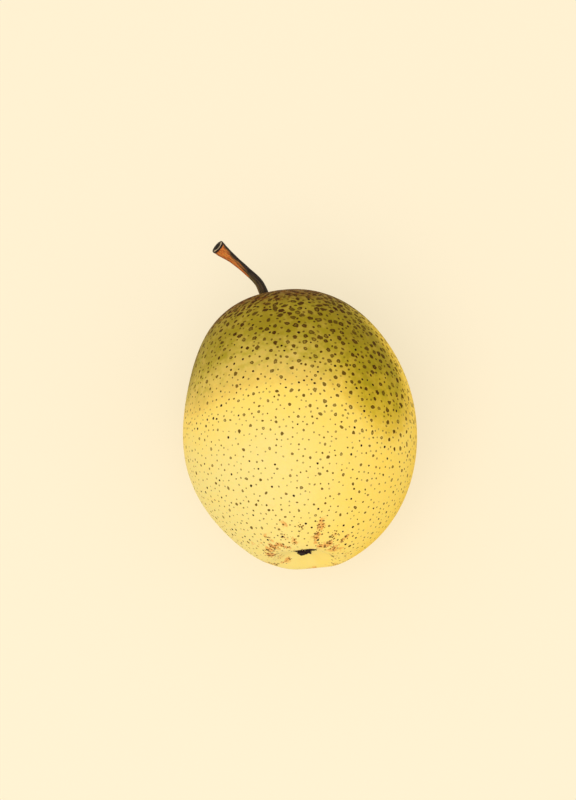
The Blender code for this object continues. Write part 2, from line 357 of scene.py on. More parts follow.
# Russet streaks round the calyx: each from (degrees round it, mm off it) to (degrees, mm), then its
# half width in mm and how much tan wash and how much brown cork it has
STREAKS = (
    (75.5, 21.6, 74.5, 19.9, 0.95, 0.9, 1.0), (108, 21.6, 104.5, 20.4, 0.65, 0.6, 0.0),
    (94, 20.4, 91, 20.1, 0.55, 0.1, 0.8), (93, 19.0, 93, 18.1, 0.45, 0.1, 0.6),
    (113, 18.0, 110, 17.3, 1.05, 0.4, 0.5), (101.5, 16.4, 100.5, 15.0, 0.75, 0.9, 0.6),
    (130.5, 18.2, 126, 16.6, 0.65, 0.8, 0.5), (133.5, 14.9, 129.5, 13.8, 1.05, 0.9, 0.9),
    (123, 14.8, 110, 13.3, 0.8, 0.8, 0.7), (143, 13.5, 141, 13.2, 1.3, 1.0, 0.8),
    (156, 12.0, 158.5, 10.4, 1.4, 1.0, 0.9), (-135, 8.9, -132, 7.4, 0.85, 0.9, 0.9),
    (75.5, 17.5, 76.5, 16.7, 0.95, 1.0, 0.9), (77, 15.9, 75, 14.6, 0.65, 0.8, 0.3),
    (57.5, 15.0, 66.5, 13.3, 1.1, 1.0, 1.0), (58, 18.9, 58, 17.4, 0.8, 0.2, 0.9),
    (44.5, 14.0, 47.5, 13.4, 1.3, 0.9, 0.6), (36, 15.1, 38, 14.5, 0.7, 0.7, 0.1),
    (43, 18.7, 45.2, 16.9, 0.75, 0.8, 0.8), (148, 16.2, 143, 16.7, 0.6, 0.5, 0.3),
    (176, 7.8, -160, 7.3, 1.1, 0.3, 0.4), (8, 9.0, -3, 10.2, 0.7, 0.0, 0.6),
    (155, 17.1, 151, 16.6, 1.0, 0.35, 0.2), (31, 13.6, 14, 14.6, 0.5, 0.45, 0.35),
)

# How many half widths off its line a streak has faded to about a third
STREAK_SPREAD = 1.15

# Streaks drawn by chance, each value between two: its turn, how far off the calyx its inner end is, its
# twist and length, then half width, wash and cork
HIDDEN_STREAKS = 17
HIDDEN_LOW = (-155, 10.5, -8, 0.8, 0.6, 0.2, 0.1)
HIDDEN_HIGH = (-28, 18.5, 8, 2.4, 1.2, 0.9, 0.9)
HIDDEN_STREAK_SEED = 5


def all_streaks():
    """The listed streaks, and those by chance on the resting side."""
    draw = np.random.default_rng(HIDDEN_STREAK_SEED)
    drawn = draw.uniform(HIDDEN_LOW, HIDDEN_HIGH, (HIDDEN_STREAKS, len(HIDDEN_LOW)))
    turn, end, twist, length, width, wash, cork = drawn.T
    hidden = np.stack([turn, end + length, turn + twist, end, width, wash, cork], axis=1)
    return np.concatenate([np.array(STREAKS), hidden])


def streak_fields(points):
    """The tan wash and the brown cork over the skin, at each point those of the strongest streak.

    Seen along the core a streak is a straight line, from which its strength falls as a bell curve.
    """
    seen = np.stack([points[:, 0] / MM - CALYX_X, -points[:, 1] / MM], axis=1)
    fields = np.zeros((2, len(points)))
    for turn_a, out_a, turn_b, out_b, width, *strengths in all_streaks():
        a, b = [out * np.array([math.cos(math.radians(turn)), math.sin(math.radians(turn))])
                for turn, out in ((turn_a, out_a), (turn_b, out_b))]
        share = np.clip((seen - a) @ (b - a) / ((b - a) @ (b - a)), 0, 1)
        away = np.linalg.norm(seen - a - share[:, None] * (b - a), axis=1)
        fields = np.maximum(fields, np.outer(strengths, np.exp(-(away / width / STREAK_SPREAD) ** 2)))
    return np.where(points[:, 2] < 0, fields, 0)


# Lenticels, the corky dots of the skin, larger and browner towards the stem end.  Lengths are in mm,
# and a pair is the value on fine skin and the value on coarse skin.
COARSE_TRIES = 9000
COARSE_SPACING = (4.8, 2.15)
COARSE_UNEVEN = 0.25
COARSE_RADIUS = (0.45, 0.75)
COARSE_TONE = 0.66
FINE_TRIES = 26000
FINE_SPACING = (2.05, 1.8)
FINE_UNEVEN = 0.4
FINE_RADIUS = (0.28, 0.38)
FINE_TONE = 0.1
LENTICEL_SEED = 3

# Where the skin grows coarse: heights, and how much higher the right side counts
COARSE_HEIGHTS = (-24.0, 34.0)
COARSE_TO_RIGHT = 0.5

# By chance: the size of each dot, how many are very dark and their radius, and how many are hollow
SIZE_SPREAD = (0.8, 1.15)
DARK_SHARE = 0.08
DARK_RADIUS = (0.3, 0.44)
HOLLOW_SHARE = 0.7

# No lenticels in the basin, nor on its lip towards the resting side
BARE_BASIN = 8.5
BARE_LIP = 10.0
BARE_LIP_TURN = (-90.0, 45.0)

# How the dots are drawn out: along a slant of the skin, and at the stem end along the core
LENTICEL_SLANT = (0.82, 0.0, -0.57)
LENTICEL_STRETCH = 0.35
STEM_END_SLANT = (0.0, 0.0, 4.0)
STEM_END_STRETCH = 0.9
STEM_END_RISE = (22.0, 44.0)

# How many faces are matched to their nearest dots in one step, to save memory
FACES_AT_ONCE = 6000


def coarse_field(points):
    """How coarse the lenticels are, from 0 on the calyx end and left flank to 1 at the stem end."""
    return smooth(*COARSE_HEIGHTS, (points[:, 2] + COARSE_TO_RIGHT * points[:, 0]) / MM)


def throw(kept, count, tries, spacing, uneven, draw):
    """Add points to the first count of those kept, each where none is nearer than its spacing.

    The spacing goes from the fine value to the coarse one, more or less by the share uneven.
    """
    directions = draw.normal(size=(tries, 3))
    points = pear_skin(directions / np.linalg.norm(directions, axis=1, keepdims=True))
    coarse = coarse_field(points)
    apart = spacing[0] + (spacing[1] - spacing[0]) * coarse
    apart = apart * draw.uniform(1 - uneven, 1 + uneven, tries) * MM
    off_x, off_y = points[:, 0] / MM - CALYX_X, points[:, 1] / MM
    bare_reach = BARE_BASIN + BARE_LIP * bell(np.degrees(np.arctan2(-off_y, off_x)), *BARE_LIP_TURN)
    bare = (np.hypot(off_x, off_y) < bare_reach) & (points[:, 2] < 0)
    for point, distance in zip(points[~bare], apart[~bare]):
        if (np.square(kept[:count] - point).sum(axis=1) > distance**2).all():
            kept[count] = point
            count += 1
    return count


def scatter_lenticels():
    """Middles, radii and kinds of all lenticels, and the random draw to go on with.

    The coarse ones are thrown first, then fine ones between.
    """
    draw = np.random.default_rng(LENTICEL_SEED)
    kept = np.empty((COARSE_TRIES + FINE_TRIES, 3))
    coarse_count = throw(kept, 0, COARSE_TRIES, COARSE_SPACING, COARSE_UNEVEN, draw)
    count = throw(kept, coarse_count, FINE_TRIES, FINE_SPACING, FINE_UNEVEN, draw)
    middles = kept[:count]
    is_coarse = np.arange(count) < coarse_count
    coarse = coarse_field(middles)
    low = np.where(is_coarse, COARSE_RADIUS[0], FINE_RADIUS[0])
    high = np.where(is_coarse, COARSE_RADIUS[1], FINE_RADIUS[1])
    radii = (low + (high - low) * coarse) * draw.uniform(*SIZE_SPREAD, count)
    dark = draw.uniform(size=count) < DARK_SHARE
    radii = np.where(dark, draw.uniform(*DARK_RADIUS, count), radii) * MM
    hollow = np.where(is_coarse & ~dark, smooth(1 - HOLLOW_SHARE, 1.0, draw.uniform(size=count)), 0.0)
    faintest = np.where(is_coarse, COARSE_TONE, FINE_TONE)
    tone = faintest + (1 - faintest) * draw.uniform(size=count)
    return middles, radii, np.stack([dark, hollow, tone], axis=1), draw


def nearest_lenticel(centres, middles, radii):
    """For each face, the lenticel whose edge is nearest to its centre."""
    centres, middles, radii = [(values / MM).astype(np.float32) for values in (centres, middles, radii)]
    nearest = np.empty(len(centres), int)
    for start in range(0, len(centres), FACES_AT_ONCE):
        some = centres[start:start + FACES_AT_ONCE]
        squared = (some**2).sum(1)[:, None] + (middles**2).sum(1)[None] - 2 * some @ middles.T
        nearest[start:start + FACES_AT_ONCE] = (np.sqrt(np.maximum(squared, 0)) - radii).argmin(axis=1)
    return nearest


def lenticel_corners(points, faces):
    """At each face corner, where it lies in its face's nearest lenticel, whose edge is at 1.

    Two tangents span the skin at the lenticel's middle, and the dot is drawn out along the first,
    which lies more often than not along one slant of the skin, and at the stem end along the core.
    """
    middles, radii, kinds, draw = scatter_lenticels()
    outward = middles / np.linalg.norm(middles, axis=1, keepdims=True)
    near_stem = smooth(*STEM_END_RISE, middles[:, 2] / MM)
    lie = draw.normal(size=outward.shape) + LENTICEL_SLANT + np.outer(near_stem, STEM_END_SLANT)
    second = np.cross(outward, lie)
    second /= np.linalg.norm(second, axis=1, keepdims=True)
    first = np.cross(second, outward)
    stretch = 1 + LENTICEL_STRETCH * (1 - kinds[:, 0]) * draw.uniform(size=len(middles)) ** 2
    stretch = stretch + STEM_END_STRETCH * near_stem
    corners = np.concatenate(faces).astype(int)
    sizes = np.array([len(face) for face in faces])
    centres = np.add.reduceat(points[corners], np.cumsum(sizes) - sizes) / sizes[:, None]
    owner = np.repeat(nearest_lenticel(centres, middles, radii), sizes)
    offset = points[corners] - middles[owner]
    along = (offset * first[owner]).sum(axis=1) / (radii * stretch)[owner]
    across = (offset * second[owner]).sum(axis=1) / radii[owner]
    return np.stack([along, across, 0 * along], axis=1), kinds[owner]


def skin_material():
    """Pear skin, grown and waxy: yellow ripening out of olive, with corky dots and russet.

    The wax gives a soft broad sheen, the cork and russet are matt and stand out very slightly.
    """
    material, tree, shader = new_material("waxy_pear_skin")
    add = functools.partial(add_node, tree)
    on_skin = add("TexCoord").outputs["Object"]
    across = add("SeparateXYZ", [on_skin]).outputs[0]
    (olive, pale, gold_and_painted_rim_light), (cap, tan_wash, corkiness), (off_x, off_y, _), (dark, hollow_kind, tone) = [
        add("SeparateXYZ", [add("Attribute", attribute_name=name).outputs["Vector"]]).outputs
        for name in ("ripeness_and_painted_light", "russet", "lenticel", "lenticel_kind")]

    # Noises, by the size of their patches in millimetres and their detail, and scattered crumbs
    broad, patch, net, blotch, ragged, grain = [
        add("TexNoise", {"Vector": on_skin, "Scale": 1 / (size * MM), "Detail": detail})
        for size, detail in ((8.0, 2), (3.0, 2), (1.5, 2), (1.5, 3), (0.8, 2), (0.5, 2))]
    crumb = add("TexVoronoi", {"Vector": on_skin, "Scale": 1 / (0.75 * MM)})

    # Yellow ground, warm on the right and pale on the left
    paleness = add("Math", [pale, add("MapRange", [broad, 0.3, 0.7, -0.12, 0.12])], operation="ADD")
    yellow = add("Mix", {0: paleness, 6: "F3D360", 7: "E9D685"}, **COLOUR)

    # Olive over it, mottled where there is any, and less grey on the right
    mottle = add("Math", [add("MapRange", [broad, 0.3, 0.7, -0.1, 0.1]),
                          add("MapRange", [patch, 0.3, 0.7, -0.1, 0.1])], operation="ADD")
    mottle = add("Math", [mottle, add("MapRange", [blotch, 0.3, 0.7, -0.05, 0.05])], operation="ADD")
    depth = add("Math", [mottle, add("MapRange", [olive, 0.02, 0.35]), olive], operation="MULTIPLY_ADD")
    share = add("Math", [depth, 1.3], operation="DIVIDE", use_clamp=True)
    left_olive = add("ValToRGB", [share], stops=[
        (0.0, "EBD06C"), (0.11, "E4C35E"), (0.25, "D4B858"), (0.41, "C2AA46"), (0.56, "AA9530"),
        (0.72, "96831A"), (0.87, "887210"), (1.0, "78580A")])
    right_olive = add("ValToRGB", [share], stops=[
        (0.0, "EACB55"), (0.11, "E0BD42"), (0.25, "CFB132"), (0.41, "BCA122"), (0.56, "A38E16"),
        (0.72, "8F7D0C"), (0.87, "816C08"), (1.0, "715206")])
    green_olive = add("Mix", {0: add("MapRange", [across, -4.0 * MM, 22.0 * MM], **SOFT),
                              6: left_olive, 7: right_olive}, **COLOUR)
    some_olive = add("MapRange", [depth, 0.0, 0.16], **SOFT)
    ground = add("Mix", {0: some_olive, 6: yellow, 7: green_olive}, **COLOUR)

    # Leaf green and tan patches in the olive, and gold where the right flank turns under: partly gold skin,
    # partly painted reflected light on the right edge
    leafy = add("Math", [add("MapRange", [patch, 0.5, 0.7, 0.0, 0.24], **SOFT),
                         add("MapRange", [olive, 0.1, 0.6], **SOFT)], operation="MULTIPLY")
    ground = add("Mix", {0: leafy, 6: ground, 7: "A49C10"}, **COLOUR)
    tanned = add("Math", [add("MapRange", [patch, 0.48, 0.3, 0.0, 0.2], **SOFT),
                          add("MapRange", [olive, 0.1, 0.5], **SOFT)], operation="MULTIPLY")
    ground = add("Mix", {0: tanned, 6: ground, 7: "A8883A"}, **COLOUR)
    gold_and_rim_light_share = add("Math", [gold_and_painted_rim_light, 0.8], operation="MULTIPLY")
    ground = add("Mix", {0: gold_and_rim_light_share, 6: ground, 7: "F0C824"}, **COLOUR)

    # Russet cap: a net of brown cork that closes up towards the stem, redder on the left
    netted = add("Math", [cap, 0.55, add("Math", [net, 2.0], operation="MULTIPLY")],
                 operation="MULTIPLY_ADD")
    netted = add("MapRange", [netted, 1.34, 1.68, 0.0, 0.85], **SOFT)
    netted = add("Math", [netted, add("MapRange", [cap, 0.1, 0.7], **SOFT)], operation="MULTIPLY")
    brown = add("Mix", {0: grain, 6: "482404", 7: "6E4208"}, **COLOUR)
    on_left = add("MapRange", [across, 2.0 * MM, -18.0 * MM, 0.0, 0.6], **SOFT)
    brown = add("Mix", {0: on_left, 6: brown, 7: "743A10"}, **COLOUR)
    tinged = add("MapRange", [cap, 0.4, 1.0, 0.0, 0.6], **SOFT)
    ground = add("Mix", {0: tinged, 6: ground, 7: "704A0C"}, **COLOUR)
    ground = add("Mix", {0: netted, 6: ground, 7: brown}, **COLOUR)

    # Russet streaks at the basin: a soft tan wash with crumbs of brown cork in it
    mottled = add("MapRange", [blotch, 0.3, 0.7, -0.4, 0.3], **SOFT)
    washed = add("Math", [tan_wash, mottled], operation="ADD")
    washed = add("MapRange", [washed, 0.2, 0.75, 0.0, 0.72], **SOFT)
    tan = add("Mix", {0: add("MapRange", [ragged, 0.35, 0.65], **SOFT), 6: "E8AA54", 7: "CC7834"}, **COLOUR)
    ground = add("Mix", {0: washed, 6: ground, 7: tan}, **COLOUR)
    crumbled = add("MapRange", [crumb, 0.6, 0.2, -0.7, 0.3], **SOFT)
    crumbs = add("Math", [corkiness, crumbled], operation="ADD")
    crumbs = add("MapRange", [crumbs, 0.35, 0.62, 0.0, 0.92], **SOFT)
    ground = add("Mix", {0: crumbs, 6: ground, 7: "6A360A"}, **COLOUR)

    # Lenticels: how far off the dot's middle, its edge roughened, and a lighter hollow to one side
    off = add("Math", [add("Math", [off_x, off_x], operation="MULTIPLY"),
                       add("Math", [off_y, off_y], operation="MULTIPLY")], operation="ADD")
    off = add("Math", [off, 0.5], operation="POWER")
    off = add("Math", [off, add("MapRange", [ragged, 0.3, 0.7, -0.28, 0.28])], operation="ADD")
    dot = add("MapRange", [off, 1.15, 0.8], **SOFT)
    hollow = add("Math", [add("MapRange", [off, 0.65, 0.25], **SOFT),
                          add("MapRange", [off_x, 0.9, -0.5], **SOFT)], operation="MULTIPLY")
    hollow = add("Math", [hollow, hollow_kind], operation="MULTIPLY")
    halo = add("Math", [add("MapRange", [off, 1.9, 1.15, 0.0, 0.12], **SOFT),
                        add("MapRange", [olive, 0.4, 0.05], **SOFT)], operation="MULTIPLY")
    lit = add("Mix", {0: halo, 6: ground, 7: "F6E2A0"}, **COLOUR)
    cork = add("ValToRGB", [share], stops=[
        (0.0, "604608"), (0.3, "523706"), (0.7, "422305"), (1.0, "381A04")])
    cork = add("Mix", {0: dark, 6: cork, 7: "2A1407"}, **COLOUR)
    strength = add("Math", [add("MapRange", [tone, 0.0, 1.0, 0.4, 1.0]), dark], operation="MAXIMUM")
    strength = add("Math", [strength, add("MapRange", [hollow, 0.0, 1.0, 1.0, 0.4])], operation="MULTIPLY")
    strength = add("Math", [strength, add("MapRange", [gold_and_painted_rim_light, 0.0, 1.0, 1.0, 0.6])], operation="MULTIPLY")
    strength = add("Math", [strength, dot], operation="MULTIPLY")
    finished = add("Mix", {0: strength, 6: lit, 7: cork}, **COLOUR)

    # Cork is matt, wax is satin
    corky = add("Math", [add("Math", [strength, netted], operation="MAXIMUM"), crumbs], operation="MAXIMUM")
    height = add("Math", [grain, 0.12, corky], operation="MULTIPLY_ADD")
    bump = add("Bump", {"Height": height, "Strength": 0.35, "Distance": 0.05 * MM})
    plug(tree, shader, {
        "Base Color": finished, "Roughness": add("MapRange", [corky, 0.0, 1.0, 0.5, 0.8]), "Normal": bump,
        "IOR": 1.45, "Specular IOR Level": 0.07, "Subsurface Weight": 0.12,
        "Subsurface Radius": (1.0, 0.6, 0.2), "Subsurface Scale": 2.0 * MM})
    return material


def make_skin():
    """The fine skin in place of the CAD fruit, with its colour fields and lenticels."""
    t = np.linspace(0, math.pi, SKIN_ROWS + 1)
    t = t - END_CROWDING * np.sin(2 * t)
    f = np.arange(SKIN_COLUMNS) * 2 * math.pi / SKIN_COLUMNS
    t, f = np.meshgrid(t, f, indexing="ij")
    directions = np.stack([np.sin(t) * np.cos(f), np.sin(t) * np.sin(f), np.cos(t)], axis=-1)
    rings = pear_skin(directions.reshape(-1, 3)).reshape(directions.shape)
    points, faces = closed_rings(rings)
    skin = new_piece("pear_skin", points, faces, skin_material())
    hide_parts("fruit")

    along = np.gradient(rings, axis=0)
    round_core = np.roll(rings, -1, axis=1) - np.roll(rings, 1, axis=1)
    normals = np.cross(along, round_core)
    normals /= np.maximum(np.linalg.norm(normals, axis=-1, keepdims=True), 1e-12)
    normals = np.concatenate([[[0, 0, 1.0]], normals[1:-1].reshape(-1, 3), [[0, 0, -1.0]]])
    olive, gold_and_painted_rim_light = olive_field(points, normals)
    ripeness_and_painted_light = np.stack([olive, pale_field(points), gold_and_painted_rim_light], axis=1)
    russet = np.stack([cap_field(points), *streak_fields(points)], axis=1)
    set_attribute(skin, "ripeness_and_painted_light", "POINT", ripeness_and_painted_light)
    set_attribute(skin, "russet", "POINT", russet)
    spots, kinds = lenticel_corners(points, faces)
    set_attribute(skin, "lenticel", "CORNER", spots)
    set_attribute(skin, "lenticel_kind", "CORNER", kinds)


# Stem: its grid, which way its lower side, the side towards the lamp, and the scar's near side face, where
# thin bark and the dark end start along it, and how the thin bark spreads from there.  The bark's painted
# light and shade follow the lower side
STEM_RINGS = 170
STEM_SIDES = 48
STEM_LOW_SIDE = np.array([-0.63, 0.24, -0.74])
SCAR_NEAR_SIDE = np.array([0.45, -0.6, -0.55])
LIT_THIN_BARK_START = 0.45
LIT_THIN_BARK_SPREAD = 1.75
LIT_THIN_BARK_POWER = 0.45
DARK_END = (0.955, 0.975)

# Scar: how far out of the stem's end and how far off its middle, in shares of the end's radius, and
# where on it the bark ends
SCAR_PROFILE = ((0.00, 1.00), (0.05, 0.99), (0.07, 0.96), (0.07, 0.91), (0.06, 0.86), (0.05, 0.70),
                (0.04, 0.54), (-0.02, 0.47), (-0.10, 0.38), (-0.15, 0.20), (-0.15, 0.0))
SCAR_BARK_END = (1.0, 0.985)

# Bark: the share of the radius that each set of ridges adds, their count, twist and phase, then the
# knots' share, and how much of all this the scar loses
BARK_RIDGES = ((0.022, 5, 7, 0.0), (0.016, 9, -11, 1.3), (0.010, 14, 17, 0.5))
KNOT_SHARE = 0.014
SCAR_BARK_LOSS = 0.6

# Fibres in the bark are patches of noise: how many for each radian round it, and for each mm along it
GRAIN_ROUND = 2.2
GRAIN_ALONG = 0.35


def smooth_path(controls, count):
    """Points on a cubic curve through the controls, and their places from 0 to 1."""
    places = np.linspace(0, len(controls) - 1, count)
    step = np.minimum(places.astype(int), len(controls) - 2)
    t = (places - step)[:, None]
    slopes = np.gradient(controls, axis=0)
    a, b, da, db = controls[step], controls[step + 1], slopes[step], slopes[step + 1]
    points = (a * (2 * t**3 - 3 * t**2 + 1) + b * (3 * t**2 - 2 * t**3)
              + da * (t**3 - 2 * t**2 + t) + db * (t**3 - t**2))
    return points, places / (len(controls) - 1)


def bark_relief(along, turn):
    """Share by which the stem's radius grows: long ridges that wander, and low knots between."""
    ridges = sum(share * np.sin(count * turn + twist * along + phase)
                 for share, count, twist, phase in BARK_RIDGES)
    knots = KNOT_SHARE * np.sin(23 * along + 2 * turn) * np.sin(3 * turn - 31 * along)
    return ridges + knots


def bark_material():
    """Pear wood twig with its bark on, dried: dark and grooved, orange where the bark is thin."""
    material, tree, shader = new_material("dry_stem_bark")
    add = functools.partial(add_node, tree)
    grain, bark, scar = [add("Attribute", attribute_name=name).outputs["Vector"]
                         for name in ("grain", "bark", "scar")]
    lit_thin_bark, low_side, dark_end = add("SeparateXYZ", [bark]).outputs
    on_scar, off_middle, near_side = add("SeparateXYZ", [scar]).outputs
    fibre = add("TexNoise", {"Vector": grain, "Scale": 1.0, "Detail": 4.0})
    fleck = add("TexNoise", {"Vector": grain, "Scale": 2.6, "Detail": 2.0})
    drawn_out = add("VectorMath", [grain, (1.0, 1.0, 0.35)], operation="MULTIPLY")
    crack = add("TexNoise", {"Vector": drawn_out, "Scale": 2.8, "Detail": 2.0})
    cracked = add("MapRange", [crack, 0.53, 0.4, 0.0, 0.75], **SOFT)

    # Old bark: black on the upper side, olive brown towards the lower, cracked along its fibres.  The step
    # from black to olive brown is painted shade and light: black on the side turned from the lamp, olive
    # brown towards it
    wander = add("MapRange", [fibre, 0.3, 0.7, -0.4, 0.4], **SOFT)
    shade = add("MapRange", [add("Math", [low_side, wander], operation="ADD"), -1.2, 1.2])
    shaded_old_bark = add("ValToRGB", [shade], stops=[
        (0.0, "0E0804"), (0.3, "20170B"), (0.52, "3E2F15"), (0.72, "5A4A1E"), (0.95, "7A6C38")])
    purple = add("MapRange", [fleck, 0.54, 0.68, 0.0, 0.5], **SOFT)
    shaded_old_bark = add("Mix", {0: purple, 6: shaded_old_bark, 7: "5A4044"}, **COLOUR)
    shaded_old_bark = add("Mix", {0: cracked, 6: shaded_old_bark, 7: "160D06"}, **COLOUR)

    # Thin bark: orange with redder and olive flecks, darker underneath, through brown at its edge.  It lies
    # on the side towards the lamp, so its orange is partly painted light
    orange = add("ValToRGB", [fleck], stops=[
        (0.34, "A84A1C"), (0.46, "CC6C2A"), (0.56, "DA8034"), (0.68, "B48236")])
    lowest = add("MapRange", [low_side, 0.6, 1.0, 0.0, 0.7], **SOFT)
    orange = add("Mix", {0: lowest, 6: orange, 7: "8E4616"}, **COLOUR)
    orange = add("Mix", {0: cracked, 6: orange, 7: "8A4A1C"}, **COLOUR)
    edge = add("Math", [lit_thin_bark, add("MapRange", [fibre, 0.3, 0.7, -0.3, 0.3], **SOFT)], operation="ADD")
    stem = add("Mix", {0: add("MapRange", [edge, -0.3, 0.05], **SOFT), 6: shaded_old_bark, 7: "6B4A1E"}, **COLOUR)
    stem = add("Mix", {0: add("MapRange", [edge, -0.05, 0.3], **SOFT), 6: stem, 7: orange}, **COLOUR)
    stem = add("Mix", {0: dark_end, 6: stem, 7: "2A160A"}, **COLOUR)

    # Scar: a black rim, a ring of wood that is pale on its near side and dark with painted shade on its far
    # side, and a hollow darkened with painted shade
    # The ring of wood: pale on its near side, painted shade on its far side
    lit_and_shaded_wood = add("MapRange", [near_side, -0.2, 0.4], **SOFT)
    lit_and_shaded_wood = add("Mix", {0: lit_and_shaded_wood, 6: "2E2418", 7: "B8A687"}, **COLOUR)
    # Painted shade darkens the hollow
    hollow = add("MapRange", [off_middle, 0.66, 0.54], **SOFT)
    face = add("Mix", {0: hollow, 6: lit_and_shaded_wood, 7: "1E170E"}, **COLOUR)
    rim = add("MapRange", [off_middle, 0.86, 0.92], **SOFT)
    face = add("Mix", {0: rim, 6: face, 7: "160D08"}, **COLOUR)
    plug(tree, shader, {
        "Base Color": add("Mix", {0: on_scar, 6: stem, 7: face}, **COLOUR),
        "Normal": add("Bump", {"Height": fibre, "Strength": 0.7, "Distance": 0.15 * MM}),
        "Roughness": 0.68, "Specular IOR Level": 0.25})
    return material


def make_stem():
    """The stem: a circle carried along its path, with bark relief, turned in at the scar."""
    path, along = smooth_path(STEM_PATH, STEM_RINGS)
    centres, radii = path[:, :3], path[:, 3]
    tangents = np.gradient(centres, axis=0)
    tangents /= np.linalg.norm(tangents, axis=1, keepdims=True)
    scar = np.array(SCAR_PROFILE)
    end, end_radius, out = centres[-1], radii[-1], tangents[-1]
    centres = np.concatenate([centres[:1], centres, end + scar[:, :1] * end_radius * out])
    radii = np.concatenate([[0.0], radii, end_radius * scar[:, 1]])
    tangents = np.concatenate([tangents[:1], tangents, np.tile(out, (len(scar), 1))])
    along = np.concatenate([[0.0], along, np.full(len(scar), 1.0)])
    on_scar = np.concatenate([np.zeros(STEM_RINGS + 1), smooth(*SCAR_BARK_END, scar[:, 1])])
    off_middle = np.concatenate([np.ones(STEM_RINGS + 1), scar[:, 1]])

    side = np.cross(tangents, [1.0, 0.0, 0.0])
    side /= np.linalg.norm(side, axis=1, keepdims=True)
    other = np.cross(tangents, side)
    turn = -np.arange(STEM_SIDES) * 2 * math.pi / STEM_SIDES
    around = side[:, None] * np.cos(turn)[None, :, None] + other[:, None] * np.sin(turn)[None, :, None]
    relief = bark_relief(along[:, None], turn[None, :]) * (1 - SCAR_BARK_LOSS * on_scar[:, None])
    grown = radii[:, None] * (1 + relief)
    rings = centres[:, None] + around * grown[..., None]
    points, faces = closed_rings(rings)
    stem = new_piece("pear_stem", points, faces, bark_material())
    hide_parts("stem")

    # The lower side faces the lamp: the bark's painted light and shade follow it
    low_side = around @ STEM_LOW_SIDE
    past_start = np.clip((along - LIT_THIN_BARK_START) / (1 - LIT_THIN_BARK_START), 0, 1)
    lit_thin_bark_from = 1.0 - LIT_THIN_BARK_SPREAD * past_start**LIT_THIN_BARK_POWER
    length = along * np.linalg.norm(np.diff(path[:, :3], axis=0), axis=1).sum() / MM
    level = np.zeros_like(low_side)
    grain = np.stack([np.cos(turn) * GRAIN_ROUND + level, np.sin(turn) * GRAIN_ROUND + level,
                      length[:, None] * GRAIN_ALONG + level], axis=-1)
    dark_end = smooth(*DARK_END, along)[:, None] + level
    bark = np.stack([low_side - lit_thin_bark_from[:, None], low_side, dark_end], axis=-1)
    near_side = around @ SCAR_NEAR_SIDE
    scar = np.stack([on_scar[:, None] + level, off_middle[:, None] + level, near_side], axis=-1)
    for name, field in (("grain", grain), ("bark", bark), ("scar", scar)):
        rows = np.concatenate([field[:1].mean(axis=1), field[1:-1].reshape(-1, 3), field[-1:].mean(axis=1)])
        set_attribute(stem, name, "POINT", rows)


# Calyx cup, its rim broken into low teeth, and the waves that make it uneven: share of the radius,
# count and phase
CUP_RADIUS = 1.9 * MM
CUP_HOLLOW_RADIUS = 1.2 * MM
CUP_HOLLOW_DEPTH = 0.9 * MM
CUP_STANDS = 0.6 * MM
CUP_SUNK = 1.1 * MM
CUP_TEETH = 11
CUP_TOOTH_HEIGHT = 0.18 * MM
CUP_WAVES = ((0.04, 5, 0.7), (0.02, 13, 0.0))
CUP_SIDES = 60
CUP_RINGS = 50

# Sepals: degrees round the core from X towards Y, reach, half width and lift off the skin in mm, and
# bluntness
SEPALS = (
    (190, 4.0, 1.1, 0.16, 1.7), (103, 3.6, 1.6, 0.42, 3.4), (45, 3.2, 1.1, 0.30, 2.5),
    (-28, 4.6, 1.3, 0.10, 1.7), (-95, 3.8, 1.3, 0.20, 1.7),
)
SEPAL_START = 1.2 * MM
SEPAL_TIP_HALF_WIDTH = 0.08 * MM
SEPAL_THICKNESS = 0.28 * MM
SEPAL_CURL = 0.1 * MM
SEPAL_TROUGH = 0.2 * MM
SEPAL_RAGGED = 0.07
SEPAL_WAVE_ACROSS = 0.05 * MM
SEPAL_WAVE_ALONG = 0.06 * MM
SEPAL_ROWS = 34
SEPAL_COLUMNS = 18
SEPAL_SEED = 11

# Stamens: their radius from foot to bead, and between which values, in mm, each one's place off the
# core, its lean and its height fall
STAMEN_COUNT = 17
STAMEN_SIDES = 6
STAMEN_RADII = (0.0, 0.07, 0.06, 0.055, 0.05, 0.05, 0.11, 0.10, 0.0)
STAMEN_OFF = (0.2, 1.0)
STAMEN_LEAN = (-0.4, 0.6)
STAMEN_HEIGHT = (0.4, 0.9)
STAMEN_BOW = 0.3 * MM
STAMEN_SUNK = 0.1 * MM
STAMEN_SEED = 4


def basin_floor():
    """The lowest point of the calyx basin, where the core meets the skin."""
    return pear_skin(np.array([[0.0, 0.0, -1.0]]))[0]


def calyx_material():
    """Dried sepal, a dead leaf: brown black and wrinkled, with painted highlights of dull red on its
    ridges.
    """
    material, tree, shader = new_material("dried_sepal")
    add = functools.partial(add_node, tree)
    on_leaf = add("TexCoord").outputs["Object"]
    wrinkle = add("TexNoise", {"Vector": on_leaf, "Scale": 1 / (0.7 * MM), "Detail": 4.0})
    # Brown black, with painted highlights of dull red on the ridges of the wrinkles
    colour = add("ValToRGB", [wrinkle], stops=[(0.35, "130807"), (0.55, "200E0D"), (0.72, "4A2430")])
    wrinkled = add("Bump", {"Height": wrinkle, "Strength": 0.8, "Distance": 0.1 * MM})
    plug(tree, shader, {
        "Base Color": colour, "Normal": wrinkled, "Roughness": 0.8, "Specular IOR Level": 0.2})
    return material


